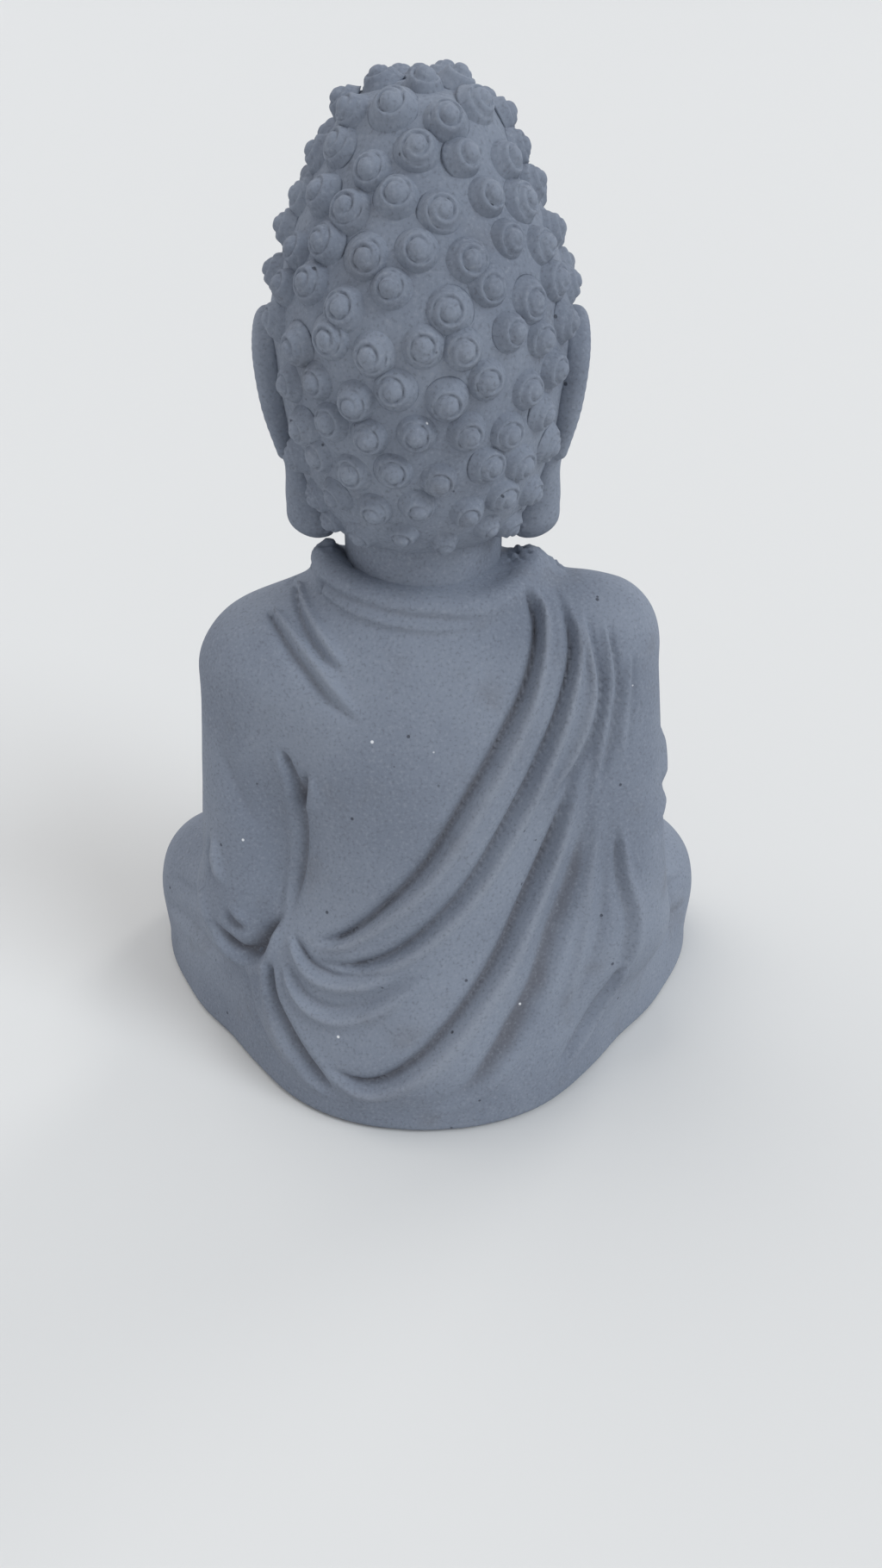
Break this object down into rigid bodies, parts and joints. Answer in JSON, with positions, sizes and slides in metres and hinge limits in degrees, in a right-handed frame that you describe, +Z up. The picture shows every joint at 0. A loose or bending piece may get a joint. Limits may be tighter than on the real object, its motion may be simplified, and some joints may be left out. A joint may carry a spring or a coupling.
{
  "type": "seated buddha statue",
  "caption": "Seated buddha figure cast in grey-blue cement, robed over both shoulders, with snail-shell curls and long ears, on its own flat foot.",
  "frame": {"origin": "on the floor, under the middle of the statue's bounding box", "axes": "+Z up, the face towards -Y, the statue's own left hand towards +X"},
  "size_m": [0.167, 0.1273, 0.2394],
  "materials": {
    "cement": "matte, cast, unpainted, with pinholes and pale specks"
  },
  "bodies": {
    "root": {"arm_left": "cement", "arm_right": "cement", "back_fold_01": "cement", "back_fold_02": "cement", "back_fold_03": "cement", "base": "cement", "curl_row_01": "cement", "curl_row_02": "cement", "curl_row_03": "cement", "curl_row_04": "cement", "curl_row_05": "cement", "curl_row_06": "cement", "curl_row_07": "cement", "curl_row_08": "cement", "curl_row_09": "cement", "curl_row_10": "cement", "curl_row_11": "cement", "curl_row_12": "cement", "curl_row_13": "cement", "ear_left": "cement", "ear_right": "cement", "foot_left": "cement", "foot_right": "cement", "forearm_left": "cement", "forearm_right": "cement", "hand_left": "cement", "hand_right": "cement", "head": "cement", "lap_cloth": "cement", "neck": "cement", "robe_collar": "cement", "shin_left": "cement", "shin_right": "cement", "thigh_left": "cement", "thigh_right": "cement", "torso": "cement"}
  },
  "joints": []
}
